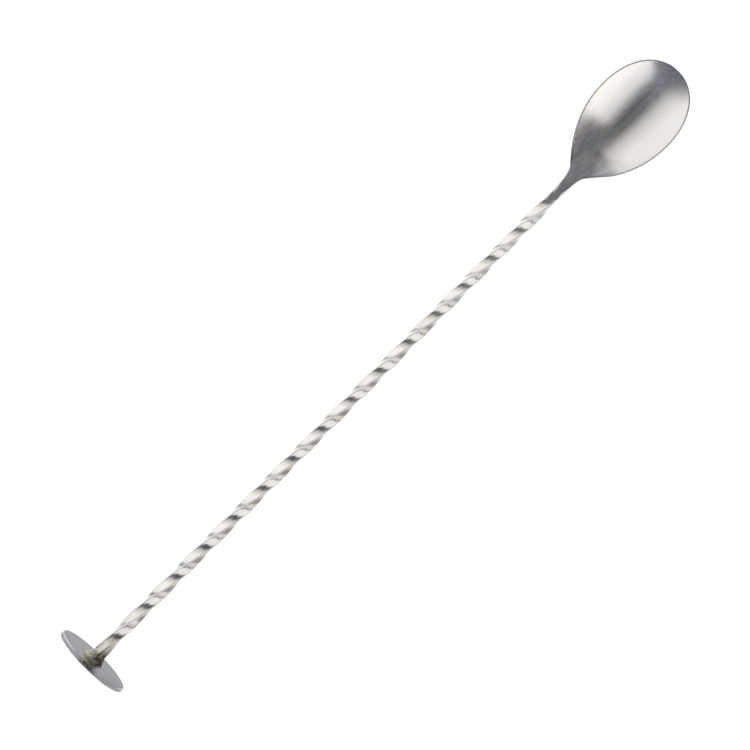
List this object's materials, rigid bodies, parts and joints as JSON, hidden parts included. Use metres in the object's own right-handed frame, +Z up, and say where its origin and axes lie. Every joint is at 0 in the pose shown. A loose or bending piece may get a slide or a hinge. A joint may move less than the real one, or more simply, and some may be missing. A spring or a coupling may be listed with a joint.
{
  "type": "bar spoon",
  "caption": "Long steel bar spoon with a twisted square stem, a satin egg-shaped bowl at one end and a flat muddler disc welded to the other.",
  "frame": {"origin": "centre of the footprint, on the surface the spoon lies on: the disc's rim and the bowl's back touch z = 0", "axes": "+X along the spoon from the disc to the bowl's tip, +Y to the side, +Z up, out of the bowl's open side; the stem's axis dips 1.3 degrees towards the bowl"},
  "size_m": [0.2802, 0.0314, 0.027],
  "materials": {
    "bowl_satin": "satin stainless steel with fine lengthwise brushing, rim edge polished",
    "stem_polished": "bright polished stainless steel with faint drawing lines along the twist",
    "disc_satin": "fine satin stainless steel with a bright turned bevel",
    "weld_heat_tinted": "weld bead left as welded, straw to brown heat tint",
    "weld_ground": "weld ground and brushed flush"
  },
  "bodies": {
    "root": {"muddler_disc": "disc_satin", "foot_weld": "weld_heat_tinted", "twisted_stem": "stem_polished", "neck_weld": "weld_ground", "spoon_bowl": "bowl_satin"}
  },
  "joints": []
}
